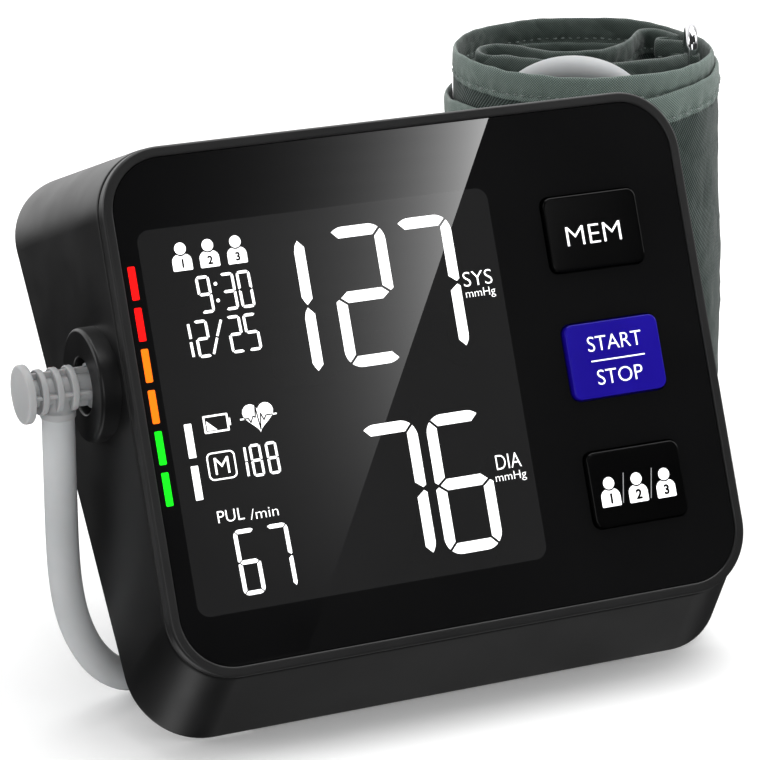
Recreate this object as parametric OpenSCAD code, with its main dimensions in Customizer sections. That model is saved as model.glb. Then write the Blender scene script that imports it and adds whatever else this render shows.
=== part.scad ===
// Table-top upper-arm blood pressure monitor with its air hose and rolled arm cuff.
// Millimetres, +Z up. X = 0 is the monitor's centre plane, +Y runs from its face to its back,
// and the origin is the middle of the front foot's sole. The monitor leans back on a fold-out stand.

/* [Monitor] */
// Width of the front face
face_w = 146.5; // [140:0.5:150]
// Height of the front face, along its slope
face_h = 120.5; // [116:0.5:124]
// Lean of the front face back from vertical, in degrees
face_tilt = 23.3; // [22:0.1:25]
// Height of the middle of the face above the floor
face_z = 76.65; // [76:0.05:78]
// Distance of the middle of the face behind the front foot
face_y = 6.8; // [6:0.1:8]
// Width of the flat back
back_w = 154; // [150:1:158]
// Height of the flat back, along its slope
back_h = 141.5; // [138:0.5:145]
// Lean of the flat back, in degrees
back_tilt = 38.7; // [37:0.1:40]
// Corner radius of the face
face_r = 15.2; // [12:0.1:18]
// Corner radius of the back
back_r = 17.4; // [14:0.1:20]
// Wall thickness of the housing
wall = 2.4; // [2:0.1:3]
// Width of the frame that shows round the glass
frame_w = 2.6; // [2:0.1:4]

/* [Front panel] */
// Width of the display window
window_w = 87.2; // [80:0.1:90]
// Height of the display window
window_h = 87.5; // [80:0.1:90]
// Sideways place of the display window's middle
window_x = -22.6; // [-24:0.1:-20]
// Height of the display and of the middle button above the face's middle
panel_y = -2.1; // [-3:0.1:0]
// Width of a button
button_w = 24.6; // [22:0.1:26]
// Height of a button
button_h = 17.8; // [16:0.1:20]
// Distance between buttons
button_pitch = 30.3; // [28:0.1:32]
// Sideways place of the buttons
button_x = 46.5; // [45:0.1:48]
// How far a button stands out of the glass
button_proud = 1.3; // [0.8:0.1:1.6]
// Length of a light bar
led_h = 7.6; // [6:0.1:8]
// Distance between light bars
led_pitch = 9.3; // [9:0.1:10]

/* [Air socket and plug] */
// Diameter of the air socket's rim
socket_d = 24.8; // [22:0.2:27]
// Diameter of the hole in the air socket
socket_bore = 13; // [12:0.2:14]
// How far the socket's rim reaches from the centre plane
socket_x = 78.4; // [78:0.1:80]
// Distance of the socket behind the front foot
socket_y = 27.8; // [26:0.1:29]
// Height of the socket above the floor
socket_z = 78.7; // [77:0.1:80]
// Diameter of the plug's end cap
plug_cap_d = 13.6; // [12:0.1:15]
// Diameter of the plug's ribs
plug_rib_d = 10.5; // [9:0.1:11]
// Outer diameter of the air hose
hose_d = 7.6; // [7:0.1:8]

/* [Stand and batteries] */
// Width of the fold-out stand
stand_w = 54; // [50:1:56]
// Opening angle of the stand, in degrees
stand_open = 62; // [60:1:63]
// Width of the battery door
door_w = 30; // [28:0.5:31]
// Height of the battery door
door_h = 64; // [63:0.5:65]

/* [Cuff] */
// Outer radius of the rolled cuff
roll_r = 37; // [36.5:0.1:38]
// Width of the cuff, which is its height as it stands
cuff_w = 103.5; // [102:0.5:105]
// Height by which the inner turns stand above the outer turn's low side
cuff_lift = 12.5; // [12:0.5:13]
// Sideways place of the roll's middle
roll_x = 104.1; // [103:0.1:106]
// Distance of the roll's middle behind the front foot
roll_y = 132.8; // [131:0.1:136]
// Turn of the roll about its own middle, in degrees
roll_turn = -24.6; // [-26:0.1:-23]
// Diameter of the D-bar's wire
dbar_wire = 3.2; // [3:0.1:3.3]

/* [Hidden] */
$fn = 48;

base_y = -1.7;          // lower edge of the flat back, behind the front foot's middle
groove = 0.4;           // parting groove between frame and housing
frame_t = 3;            // depth of the front frame
glass_t = 1.6;
glass_sink = 0.4;       // glass lies this far below the frame's front
glass_w = face_w - 2 * frame_w;
glass_h = face_h - 2 * frame_w;
glass_r = face_r - frame_w;
button_gap = 0.4;
pcb_front = -9;         // front of the circuit board, below the face
pcb_t = 1.6;
led_x = -68.6;
led_y0 = 30.2;
foot_h = 2.5;
lean_floor = 0.6;       // the housing's lower edge is cut flat this far above the floor
tray = [62, 8, 108.5, 9];      // stand tray: width, low end, high end, depth
pocket = [59, 9.5, 107, 7];    // the pocket in it
hinge_c = 100;          // stand hinge, up the flat back
hinge_in = 3.2;         // stand hinge, below the back's surface
leg_len = 84;
leg_t = 4;
pin_d = 3;
door_x = 53;
door_c = 90;
box_depth = 26.5;
door_hinge_c = door_c - door_h / 2 + 1.9;
door_hinge_in = 1.9;
door_pin_d = 1.6;
cell_d = 10.5;
cell_l = 44.5;
plug_x0 = 92.3;         // outer end of the plug's cap, less 1
rib_pitch = 3.6;
hose_x = -84.3;
turn_in = 34.9;         // outer radius of the second turn
fabric_t = 0.9;

// Points of a rounded rectangle, n + 1 to a corner, anticlockwise from its right side.
function rr_pts(w, h, r, n = 8) = [for (c = [[1, 1, 0], [-1, 1, 90], [-1, -1, 180], [1, -1, 270]])
    for (k = [0:n]) let (a = c[2] + 90 * k / n)
        [c[0] * (w / 2 - r) + r * cos(a), c[1] * (h / 2 - r) + r * sin(a)]];

// A point of the face (right, up, out) and of the back (right, up, inward) in the part's frame.
function on_face(p, out = 0) = [p[0],
    face_y + p[1] * sin(face_tilt) - out * cos(face_tilt),
    face_z + p[1] * cos(face_tilt) + out * sin(face_tilt)];
function on_back(p, deep = 0) = [p[0],
    base_y + p[1] * sin(back_tilt) - deep * cos(back_tilt),
    p[1] * cos(back_tilt) + deep * sin(back_tilt)];

module in_face() { translate([0, face_y, face_z]) rotate([90 - face_tilt, 0, 0]) children(); }
module in_back() { translate([0, base_y, 0]) rotate([90 - back_tilt, 0, 0]) children(); }
module in_stand() {
    translate(on_back([0, hinge_c], hinge_in)) rotate([90 - back_tilt + stand_open, 0, 0]) children();
}
module in_roll() { translate([roll_x, roll_y, 0]) rotate([0, 0, roll_turn]) children(); }
module in_socket() { translate([0, socket_y, socket_z]) rotate([0, -90, 0]) children(); }

// A flat rounded rectangle with true round corners.
module rr(w, h, r) {
    square([w - 2 * r, h], center = true);
    square([w, h - 2 * r], center = true);
    for (x = [-1, 1], y = [-1, 1]) translate([x * (w / 2 - r), y * (h / 2 - r)]) circle(r);
}
module slab(w, h, r, z0, z1) { translate([0, 0, z0]) linear_extrude(z1 - z0) rr(w, h, r); }

// Solid between two rings of points, with flat ends.
module loft(a, b) {
    n = len(a);
    polyhedron(points = concat(a, b), faces = concat(
        [[for (i = [n - 1:-1:0]) i]], [[for (i = [0:n - 1]) n + i]],
        [for (i = [0:n - 1]) [i, (i + 1) % n, n + (i + 1) % n]],
        [for (i = [0:n - 1]) [i, n + (i + 1) % n, n + i]]));
}

// The wedge between face and back, grown or shrunk by inset.
module wedge(inset, face_out, back_out) {
    back = [for (p = rr_pts(back_w - 2 * inset, back_h - 2 * inset, back_r - inset))
        on_back([p[0], p[1] + back_h / 2], -back_out)];
    face = [for (p = rr_pts(face_w + 0.4 - 2 * inset, face_h + 0.4 - 2 * inset, face_r - inset))
        on_face(p, face_out)];
    loft(face, back);
}
module below_floor(h) { translate([-100, -100, h - 100]) cube([200, 300, 100]); }

/* Monitor casing */

module rear_housing() color([0.10, 0.10, 0.11]) difference() {
    wedge(0, -frame_t - groove, 0);
    wedge(wall, 2, 0.1);
    in_socket() cylinder(h = 120, d = 17.2);
    below_floor(lean_floor);
    translate([-51, -3.2, -1]) cube([102, 6.4, foot_h + 1]);
}

module base_cover() color([0.09, 0.09, 0.10]) difference() {
    in_back() difference() {
        union() {
            translate([0, back_h / 2, 0])
                slab(back_w - 2 * wall - 1.4, back_h - 2 * wall - 2, back_r - wall, 0, wall);
            translate([-tray[0] / 2, tray[1], 0]) cube([tray[0], tray[2] - tray[1], tray[3]]);
            for (x = [-1, 1]) translate([x * 33.5 - 2.5, hinge_c - 4, 0]) cube([5, 8, 7]);
            for (x = [-1, 1]) translate([door_x + x * (door_w / 2 + 2) - 1.5, door_hinge_c - 3, 0])
                cube([3, 6, 4]);
        }
        translate([0, door_hinge_c, door_hinge_in]) rotate([0, 90, 0]) cylinder(h = 100, d = door_pin_d);
        translate([-pocket[0] / 2, pocket[1], -1])
            cube([pocket[0], pocket[2] - pocket[1], pocket[3] + 1]);
        translate([-40, hinge_c, hinge_in]) rotate([0, 90, 0]) cylinder(h = 80, d = pin_d);
        translate([door_x - door_w / 2 - 0.4, door_c - door_h / 2 - 0.4, -1])
            cube([door_w + 0.8, door_h + 0.8, 9]);
        for (p = screw_places) translate([p[0], p[1], -1]) cylinder(h = 8, d = 2.6);
        for (p = screw_places) translate([p[0], p[1], -1]) cylinder(h = 2.2, d = 5.6);
    }
    below_floor(lean_floor + 0.4);
    translate([-52, -4, -1]) cube([104, 8, foot_h + 1.4]);
}
screw_places = [[-62, 16], [62, 16], [-62, 126], [62, 126]];

module front_frame() color([0.16, 0.16, 0.17]) in_face() difference() {
    slab(face_w, face_h, face_r, -frame_t, 0);
    slab(glass_w + 0.2, glass_h + 0.2, glass_r, -glass_sink - glass_t, 1);
    slab(glass_w - 5, glass_h - 5, glass_r - 2.5, -frame_t - 1, 1);
}

module button_place(i) { translate([button_x, panel_y + (1 - i) * button_pitch, 0]) children(); }

module led_bars() color([0.9, 0.3, 0.1]) in_face() for (i = [0:5])
    translate([led_x, led_y0 - i * led_pitch, 0])
        slab(1.7, led_h - 0.05, 0.3, -glass_sink - glass_t, -glass_sink);

module glass_panel() color([0.05, 0.05, 0.06]) in_face() difference() {
    slab(glass_w, glass_h, glass_r, -glass_sink - glass_t, -glass_sink);
    for (i = [0:2]) button_place(i)
        slab(button_w + 2 * button_gap, button_h + 2 * button_gap, 2.4, -5, 1);
    for (i = [0:5]) translate([led_x, led_y0 - i * led_pitch, 0])
        slab(1.75, led_h, 0.3, -5, 1);
}

module lcd_module() color([0.15, 0.16, 0.17]) in_face() translate([window_x, panel_y, 0]) {
    slab(window_w + 3, window_h + 3, 1, -7.6, -2.1);
}

module button(i) in_face() button_place(i) {
    slab(button_w, button_h, 2, -3.4, -glass_sink + button_proud);
    slab(button_w + 2.4, button_h + 2.4, 2.6, -3.6, -2.5);
}
module button_mem() color([0.04, 0.04, 0.05]) button(0);
module button_start() color([0.13, 0.08, 0.6]) button(1);
module button_user() color([0.04, 0.04, 0.05]) button(2);

module keypad_mat() color([0.35, 0.35, 0.37]) in_face() translate([button_x, panel_y, 0])
    slab(28, 86, 2, -6.2, -4.8);
module main_pcb() color([0.05, 0.35, 0.15]) in_face() translate([9, 0, 0])
    slab(110, 98, 1.5, pcb_front - pcb_t, pcb_front);
module tact_switches() color([0.7, 0.7, 0.7]) in_face() for (i = [0:2]) button_place(i) {
    slab(6, 6, 0.4, pcb_front, pcb_front + 2);
    slab(3, 3, 0.4, pcb_front + 1.9, pcb_front + 2.6);
}
module buzzer() color([0.1, 0.1, 0.1]) in_face() translate([30, -40, pcb_front - pcb_t - 6])
    difference() {
        cylinder(h = 6, d = 12);
        translate([0, 0, -1]) cylinder(h = 3, d = 2);
    }
module pressure_sensor() color([0.85, 0.85, 0.82]) in_face() {
    translate([10, -20, 0]) slab(10, 10, 0.5, pcb_front - pcb_t - 5, pcb_front - pcb_t);
    translate([10, -20, pcb_front - pcb_t - 9]) cylinder(h = 4.5, d = 3);
}

/* Air parts inside the monitor */

pump_c = 116;
pump_in = 24;
module in_pump() { translate(on_back([0, pump_c], pump_in)) rotate([0, 90, 0]) children(); }
module air_pump_motor() color([0.75, 0.75, 0.77]) in_pump() {
    translate([0, 0, -50]) cylinder(h = 32, d = 24);
    translate([0, 0, -54]) cylinder(h = 4.2, d = 8);
}
module air_pump_head() color([0.15, 0.15, 0.16]) in_pump() {
    translate([0, 0, -18]) cylinder(h = 18, d = 27);
    cylinder(h = 6, d = 4.2);
}
module release_valve() color([0.6, 0.6, 0.62]) translate(on_back([-66, 45], 14)) rotate([0, 90, 0]) {
    cylinder(h = 18, d = 15);
    translate([0, 0, 18]) cylinder(h = 6, d = 6);
}
pump_at = on_back([0, pump_c], pump_in);
tube_route = [[-51.9, socket_y, socket_z], [-36, socket_y, socket_z], [-16, socket_y, socket_z],
              [4, socket_y + 1, socket_z + 1], [16, socket_y + 8, socket_z + 8],
              [22, (socket_y + pump_at[1]) / 2, (socket_z + pump_at[2]) / 2],
              [20, pump_at[1] - 3, pump_at[2] - 4], [13, pump_at[1], pump_at[2]],
              [9, pump_at[1], pump_at[2]], [6.3, pump_at[1], pump_at[2]]];
module inner_tube() color([0.8, 0.8, 0.78]) sweep(finer(tube_route), 5, 8);

module air_socket() color([0.10, 0.10, 0.11]) in_socket() difference() {
    union() {
        translate([0, 0, 52]) cylinder(h = 8, d = 4);
        translate([0, 0, 58]) cylinder(h = 20, d = 17);
        intersection() {
            translate([0, 0, socket_x - 6]) cylinder(h = 6, d = socket_d + 1.6);
            translate([0, 0, socket_x - 6]) cylinder(h = 6, d1 = socket_d + 11, d2 = socket_d);
        }
    }
    wedge_side();
    translate([0, 0, 61]) cylinder(h = 30, d = 9.2);
    translate([0, 0, socket_x - 3.4]) cylinder(h = 10, d = socket_bore);
    translate([0, 0, 40]) cylinder(h = 30, d = 2);
}
// Keeps the socket's rim outside the housing's side wall.
module wedge_side() {
    rotate([0, 90, 0]) translate([0, -socket_y, -socket_z]) difference() {
        wedge(0, -frame_t - groove, 0);
        translate([-90, socket_y, socket_z]) rotate([0, 90, 0]) cylinder(h = 90, d = 17);
    }
}
module socket_seal() color([0.1, 0.1, 0.1]) in_socket() translate([0, 0, 62]) difference() {
    cylinder(h = 2, d = 9.15);
    translate([0, 0, -1]) cylinder(h = 4, d = 5);
}

/* Batteries */

module battery_box() color([0.12, 0.12, 0.13]) in_back() difference() {
    translate([door_x - 14.5, door_c - 27.1, 2.6]) cube([29, 56.1, box_depth - 2.6]);
    translate([door_x - 12.5, door_c - 26.3, 0]) cube([25, 52.8, box_depth - 1.5]);
}
cell_x = [door_x - 5.9, door_x + 5.9];
cell_deep = [8.8, 19.2];
module at_cells() { for (x = cell_x, z = cell_deep) translate([x, door_c, z]) children(); }
module battery_cells() color([0.2, 0.3, 0.6]) in_back() at_cells() rotate([90, 0, 0]) {
    translate([0, 0, -cell_l / 2]) cylinder(h = cell_l - 1, d = cell_d - 0.3);
    translate([0, 0, cell_l / 2 - 1.1]) cylinder(h = 1.1, d = 5.5);
}
module battery_contacts() color([0.8, 0.8, 0.82]) in_back() at_cells() for (s = [-1, 1])
    translate([0, s * (cell_l / 2 + 1.8), 0]) rotate([90, 0, 0])
        cylinder(h = 3.2, d = 7, center = true);
module battery_door() color([0.10, 0.10, 0.11]) in_back() difference() {
    union() {
        translate([door_x, door_c + 0.95, 0]) slab(door_w, door_h - 1.9, 1.2, 0, 1.8);
        translate([door_x - door_w / 2, door_hinge_c, door_hinge_in]) rotate([0, 90, 0])
            cylinder(h = door_w, d = 3.8);
        translate([door_x - 5, door_c + door_h / 2 - 1.7, 1]) cube([10, 1.6, 3]);
    }
    translate([door_x - 20, door_hinge_c, door_hinge_in]) rotate([0, 90, 0])
        cylinder(h = 40, d = door_pin_d + 0.1);
}
module door_pins() color([0.75, 0.75, 0.77]) in_back()
    translate([door_x - door_w / 2 - 3, door_hinge_c, door_hinge_in]) rotate([0, 90, 0])
        cylinder(h = door_w + 6, d = door_pin_d);

module base_screws() color([0.6, 0.6, 0.62]) in_back() for (p = screw_places)
    translate([p[0], p[1], 0]) {
        translate([0, 0, 0.2]) cylinder(h = 1, d = 5);
        translate([0, 0, 1.1]) cylinder(h = 6.5, d = 2.55);
    }

/* Feet and stand */

module front_foot() color([0.06, 0.06, 0.06]) translate([-50, -3.2, 0]) cube([100, 6.4, foot_h]);

module stand_leg() color([0.10, 0.10, 0.11]) difference() {
    in_stand() difference() {
        union() {
            translate([-stand_w / 2, -leg_len, -leg_t / 2]) cube([stand_w, leg_len, leg_t]);
            translate([-stand_w / 2, 0, 0]) rotate([0, 90, 0]) cylinder(h = stand_w, d = 6.2);
        }
        translate([-stand_w / 2 - 1, 0, 0]) rotate([0, 90, 0])
            cylinder(h = stand_w + 2, d = pin_d + 0.1);
        for (x = [-1:1]) translate([x * 16, -40, 0]) slab(9, 50, 4, 1.2, 5);
    }
    below_floor(foot_h);
}
module stand_pin() color([0.75, 0.75, 0.77]) in_back()
    translate([-35, hinge_c, hinge_in]) rotate([0, 90, 0]) cylinder(h = 70, d = pin_d);
module stand_foot() color([0.06, 0.06, 0.06]) difference() {
    in_stand() translate([-stand_w / 2 + 3, -leg_len - 4.2, -leg_t / 2 - 0.6])
        cube([stand_w - 6, 12, leg_t + 1.2]);
    below_floor(0);
    translate([-100, 0, foot_h]) cube([200, 200, 200]);
}

/* Air plug and hose */

module air_plug() color([0.78, 0.78, 0.78]) {
    in_socket() difference() {
        union() {
            translate([0, 0, plug_x0 - 1]) cylinder(h = 2, d = plug_cap_d);
            for (i = [1:3]) translate([0, 0, plug_x0 - i * rib_pitch - 0.9])
                cylinder(h = 1.6, d = plug_rib_d);
            translate([0, 0, 70]) cylinder(h = plug_x0 - 70, d = 6);
            for (a = [0, 90]) rotate([0, 0, a])
                translate([-plug_rib_d / 2 + 0.3, -0.5, 76]) cube([plug_rib_d - 0.6, 1, plug_x0 - 76]);
            translate([0, 0, 75.4]) cylinder(h = 1.6, d = plug_rib_d);
            translate([0, 0, 65]) cylinder(h = 11, d = 8.8);
        }
        translate([0, 0, 60]) cylinder(h = 24, d = 2.6);
        translate([0, 0, 67.2]) difference() {
            cylinder(h = 1.8, d = 12);
            translate([0, 0, -1]) cylinder(h = 4, d = 7.2);
        }
    }
    translate([hose_x, socket_y, socket_z - 5.7]) cylinder(h = 3.4, d = hose_d - 0.6);
}
module plug_ring() color([0.1, 0.1, 0.1]) in_socket() translate([0, 0, 67.3]) difference() {
    cylinder(h = 1.6, d = 9.1);
    translate([0, 0, -1]) cylinder(h = 4, d = 7.25);
}

// The hose's route: up from the cuff's port, over one loop that shows above the roll's front,
// down again, out below the raised inner turns, and along the floor to the plug.
function at_roll(p) = [roll_x + p[0] * cos(roll_turn) - p[1] * sin(roll_turn),
                       roll_y + p[0] * sin(roll_turn) + p[1] * cos(roll_turn), p[2]];
loop_r = 19.2;
loop_x = -3.2;
loop_top = 116.3;
leg_at = 27.2;          // distance of the hose's legs from the roll's middle
function loop_pt(a) = let (x = loop_x + loop_r * cos(a))
    at_roll([x, 1.6 * sin(a) - sqrt(leg_at * leg_at - x * x), loop_top - loop_r * (1 - sin(a))]);
port_p = loop_pt(0);
leg_p = loop_pt(180);
function leg(s, z) = [leg_p[0] - s * sin(roll_turn), leg_p[1] + s * cos(roll_turn), z];
function fold(a) = leg(17 * (1 - cos(a)), 21 - 17 * sin(a));
hose_route = concat([for (z = [56, 66, 76, 88]) [port_p[0], port_p[1], z]], [for (a = [0:22.5:180]) loop_pt(a)],
    [for (z = [84, 68, 52, 36, 21]) leg(0, z)], [fold(22.5), fold(45), fold(67.5), leg(17, 4)],
    [[86.2, 158, 4], [87.4, 171, 4], [86.5, 185, 4], [81, 199, 4], [69.5, 208.5, 4], [54.5, 210.5, 4],
     [40, 203.5, 4], [27, 191, 4], [12, 175, 4], [-4, 158, 4], [-19, 140, 4], [-30.5, 121, 4],
     [-37, 102.5, 4], [-40.5, 85, 4], [-43.5, 69, 4], [-48, 54.5, 4], [-53.5, 42.5, 4], [-60.5, 33, 4],
     [-68.5, 28.6, 4.4], [-74.6, 27.9, 7.9], [-79.4, socket_y, 14.5], [-82.6, socket_y, 23],
     [-84, socket_y, 33], [hose_x, socket_y, 43], [hose_x, socket_y, 58], [hose_x, socket_y, 73]]);
function unit(v) = v / norm(v);
function way(p, i) = unit(p[min(i + 1, len(p) - 1)] - p[max(i - 1, 0)]);
// Side vectors carried along the route, so that the rings of the sweep don't twist.
function sides(p, i = 0, last = [0, 1, 0]) = i == len(p) ? [] :
    let (w = way(p, i), s = unit(last - (last * w) * w)) concat([s], sides(p, i + 1, s));
module sweep(p, d, n = 10) {
    s = sides(p);
    m = len(p);
    rings = [for (i = [0:m - 1]) let (t = cross(way(p, i), s[i]))
        for (k = [0:n - 1]) p[i] + d / 2 * (cos(360 * k / n) * s[i] + sin(360 * k / n) * t)];
    polyhedron(points = rings, faces = concat(
        [[for (k = [n - 1:-1:0]) k]], [[for (k = [0:n - 1]) (m - 1) * n + k]],
        [for (i = [0:m - 2], k = [0:n - 1]) let (a = i * n + k, b = i * n + (k + 1) % n)
            [a, b, b + n, a + n]]));
}
// Points halfway along a smooth curve through the route, so that the sweep has twice the rings.
function mid(p, i) = (9 * (p[i] + p[i + 1]) - p[max(i - 1, 0)] - p[min(i + 2, len(p) - 1)]) / 16;
function finer(p) = concat([for (i = [0:len(p) - 2]) each [p[i], mid(p, i)]], [p[len(p) - 1]]);
module air_hose() color([0.62, 0.64, 0.66]) sweep(finer(hose_route), hose_d);

/* Cuff: every wall is a ribbon drawn on the floor and raised to the cuff's width */

function arc_path(r0, r1, a0, a1, n) = [for (i = [0:n])
    let (a = a0 + (a1 - a0) * i / n, r = r0 + (r1 - r0) * i / n) [r * cos(a), r * sin(a)]];
function smooth(p, i, t) = let (a = p[max(i - 1, 0)], b = p[i], c = p[i + 1], d = p[min(i + 2, len(p) - 1)])
    0.5 * (2 * b + (c - a) * t + (2 * a - 5 * b + 4 * c - d) * t * t + (3 * b - a - 3 * c + d) * t * t * t);
function smooth_path(p, n) = concat([for (i = [0:len(p) - 2], k = [0:n - 1]) smooth(p, i, k / n)],
    [p[len(p) - 1]]);
function left_of(p, i) = let (w = way(p, i)) [-w[1], w[0]];
module ribbon(p, t, z0, h) {
    m = len(p);
    translate([0, 0, z0]) linear_extrude(h) polygon(concat(
        [for (i = [0:m - 1]) p[i] + t / 2 * left_of(p, i)],
        [for (i = [m - 1:-1:0]) p[i] - t / 2 * left_of(p, i)]));
}
outer_t = 1.4;
rim_rise = 9;           // rise of the outer turn's rim across the roll
lift_slope = atan(rim_rise / (2 * roll_r));
// Outer turn: its rim climbs from the low left side towards the level of the inner turns.
module cuff_outer_wrap() color([0.33, 0.39, 0.36]) in_roll() intersection() {
    union() {
        ribbon(arc_path(roll_r - outer_t / 2, roll_r - outer_t / 2, 165, 345, 30), outer_t, 0, 140);
        ribbon(arc_path(roll_r - outer_t / 2, roll_r - outer_t / 2, 344.9, 450, 18), outer_t, 0, 140);
    }
    translate([-roll_r, -60, 0]) rotate([0, -lift_slope, 0]) translate([-20, 0, 0])
        cube([140, 120, cuff_w]);
    translate([-60, -60, 0]) cube([120, 120, 140]);
}
module cuff_inner_wrap() color([0.33, 0.39, 0.36]) in_roll()
    ribbon(arc_path(turn_in - 0.45, turn_in - 0.45, 35, 385, 56), fabric_t, cuff_lift, cuff_w);
module cuff_bladder() color([0.2, 0.2, 0.22]) in_roll()
    ribbon(arc_path(turn_in - 1.6, turn_in - 1.6, 100, 330, 40), 1.2, cuff_lift + 12, cuff_w - 24);
module cuff_lining() color([0.28, 0.33, 0.31]) in_roll()
    ribbon(arc_path(turn_in - 2.7, turn_in - 2.7, 38, 385, 56), 0.8, cuff_lift, cuff_w);
tail_path = [[27.2, 12.6], [25, 16.6], [22.4, 20], [19.7, 21.8], [17.3, 20.6], [15.6, 17.4], [12.2, 6.6],
    [6.6, -2.6], [1, -5.4], [-5, -5.6], [-10, -3.4], [-15.8, 0.4], [-20.4, 2.2], [-24.7, 1.6], [-27.8, -1.2],
    [-28.2, -5.6], [-25.4, -9.2], [-20.4, -10.4], [-14, -13.6], [-5, -18.2], [5, -19], [13.3, -16.6],
    [20.6, -12.6], [24.6, -10], [27.9, -8]];
tail_low = 21;          // the tail is narrower than the cuff
module cuff_tail() color([0.33, 0.39, 0.36]) in_roll() difference() {
    ribbon(smooth_path(tail_path, 4), 2.2, tail_low, cuff_lift + cuff_w - tail_low);
    translate(dbar_at) cylinder(h = 130, r = sleeve_r + 0.05);
}
module hook_pad() color([0.12, 0.13, 0.13]) in_roll()
    ribbon(arc_path(turn_in + 0.36, turn_in + 0.36, 170, 232, 24), 0.4, cuff_lift + 8, cuff_w - 30);

dbar_at = [29, -4.8, 0];
dbar_gap = 9;
sleeve_r = 2.3;
dbar_low = 19;
dbar_top = 116.2;
module dbar_sleeve() color([0.33, 0.39, 0.36]) in_roll() translate(dbar_at) difference() {
    translate([0, 0, tail_low]) cylinder(h = cuff_lift + cuff_w - tail_low, r = sleeve_r);
    cylinder(h = 130, d = dbar_wire + 0.2);
}
module dbar_end() {
    rotate([90, 0, 90]) rotate_extrude(angle = 180) translate([dbar_gap / 2, 0]) circle(d = dbar_wire);
}
module dbar() color([0.85, 0.85, 0.87]) in_roll() translate(dbar_at) translate([0, dbar_gap / 2, 0]) {
    for (s = [-1, 1]) translate([0, s * dbar_gap / 2, dbar_low])
        cylinder(h = dbar_top - dbar_low, d = dbar_wire);
    translate([0, 0, dbar_top]) dbar_end();
    translate([0, 0, dbar_low]) mirror([0, 0, 1]) dbar_end();
}
// Moulded elbow on the tail, with an upright spigot that the hose starts from.
module hose_port() color([0.7, 0.7, 0.7]) translate([port_p[0], port_p[1], 0]) {
    translate([0, 0, 48]) cylinder(h = 8, d = hose_d);
    translate([0, 0, 51]) rotate([0, 0, roll_turn]) rotate([-90, 0, 0]) cylinder(h = 3.8, d = 6);
}

rear_housing();
base_cover();
front_frame();
glass_panel();
lcd_module();
led_bars();
button_mem();
button_start();
button_user();
keypad_mat();
main_pcb();
tact_switches();
buzzer();
pressure_sensor();
air_pump_motor();
air_pump_head();
release_valve();
inner_tube();
air_socket();
socket_seal();
battery_box();
battery_cells();
battery_contacts();
battery_door();
door_pins();
base_screws();
front_foot();
stand_leg();
stand_pin();
stand_foot();
air_plug();
plug_ring();
air_hose();
hose_port();
cuff_outer_wrap();
cuff_inner_wrap();
cuff_lining();
cuff_bladder();
cuff_tail();
hook_pad();
dbar_sleeve();
dbar();
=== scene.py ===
import bpy
import bmesh
import random
from math import cos, sin, pi, radians, sqrt, exp, hypot
from mathutils import Matrix, Vector, noise

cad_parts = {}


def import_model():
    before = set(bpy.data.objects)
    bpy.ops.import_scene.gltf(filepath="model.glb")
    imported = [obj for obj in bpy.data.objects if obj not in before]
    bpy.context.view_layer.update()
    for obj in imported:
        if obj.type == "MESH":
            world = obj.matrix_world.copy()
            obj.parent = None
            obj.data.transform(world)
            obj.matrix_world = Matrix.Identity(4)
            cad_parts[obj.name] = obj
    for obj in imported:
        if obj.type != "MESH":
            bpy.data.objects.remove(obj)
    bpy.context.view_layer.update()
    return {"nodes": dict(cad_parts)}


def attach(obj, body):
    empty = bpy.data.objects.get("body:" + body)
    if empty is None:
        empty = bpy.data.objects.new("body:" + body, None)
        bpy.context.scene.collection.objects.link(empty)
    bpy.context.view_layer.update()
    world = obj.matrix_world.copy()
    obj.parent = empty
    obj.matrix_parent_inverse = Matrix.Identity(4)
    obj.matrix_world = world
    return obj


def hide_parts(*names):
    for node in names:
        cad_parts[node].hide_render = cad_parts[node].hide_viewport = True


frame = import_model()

scene = bpy.context.scene
MM = 0.001

# --- the part's own frames (millimetres)
FACE_W, FACE_H, FACE_R, FACE_TILT = 146.5, 120.5, 15.2, 23.3
FACE_AT = (0, 6.8, 76.65)
BACK_W, BACK_H, BACK_R, BACK_TILT = 154, 141.5, 17.4, 38.7
BACK_AT = (0, -1.7, 0)
GLASS_SINK = 0.4                                # the glass below the frame's rim
WINDOW_AT, WINDOW_HALF, WINDOW_R = (-22.6, -2.1), (43.6, 43.75), 3.0
KEY_AT, KEY_STEP, KEY_W, KEY_H, KEY_R, KEY_PROUD = (46.5, -2.1), 30.3, 24.6, 17.8, 2.2, 1.3
SOCKET_AT = (0, 27.8, 78.7)
ROLL_AT, ROLL_TURN = (104.1, 132.8), -24.6
HOSE_D, HOSE_LOW = 7.6, 4                       # HOSE_LOW: its middle where it lies on the floor
PLUG_X = -84.3                                  # where the hose meets the plug


def move(at):
    return Matrix.Translation(Vector(at))


TO_FACE = move(FACE_AT) @ Matrix.Rotation(radians(90 - FACE_TILT), 4, "X")
TO_BACK = move(BACK_AT) @ Matrix.Rotation(radians(90 - BACK_TILT), 4, "X")
TO_SOCKET = move(SOCKET_AT) @ Matrix.Rotation(radians(-90), 4, "Y")
TO_ROLL = move((*ROLL_AT, 0)) @ Matrix.Rotation(radians(ROLL_TURN), 4, "Z")
WORLD = Matrix.Identity(4)

# --- camera
cam_data = bpy.data.cameras.new("camera")
cam_data.lens = 162.9
cam_data.sensor_width = 36
cam = bpy.data.objects.new("camera", cam_data)
scene.collection.objects.link(cam)
cam.location = (-0.3233, -0.6684, 0.3350)
cam.rotation_euler = (radians(70.876), 0, radians(-24.624))
scene.camera = cam


# --- small tools
def new_object(name, data):
    obj = bpy.data.objects.new(name, data)
    scene.collection.objects.link(obj)
    return obj


def mesh_object(name, verts, faces):
    mesh = bpy.data.meshes.new(name)
    mesh.from_pydata(verts, [], faces)
    return new_object(name, mesh)


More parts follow.
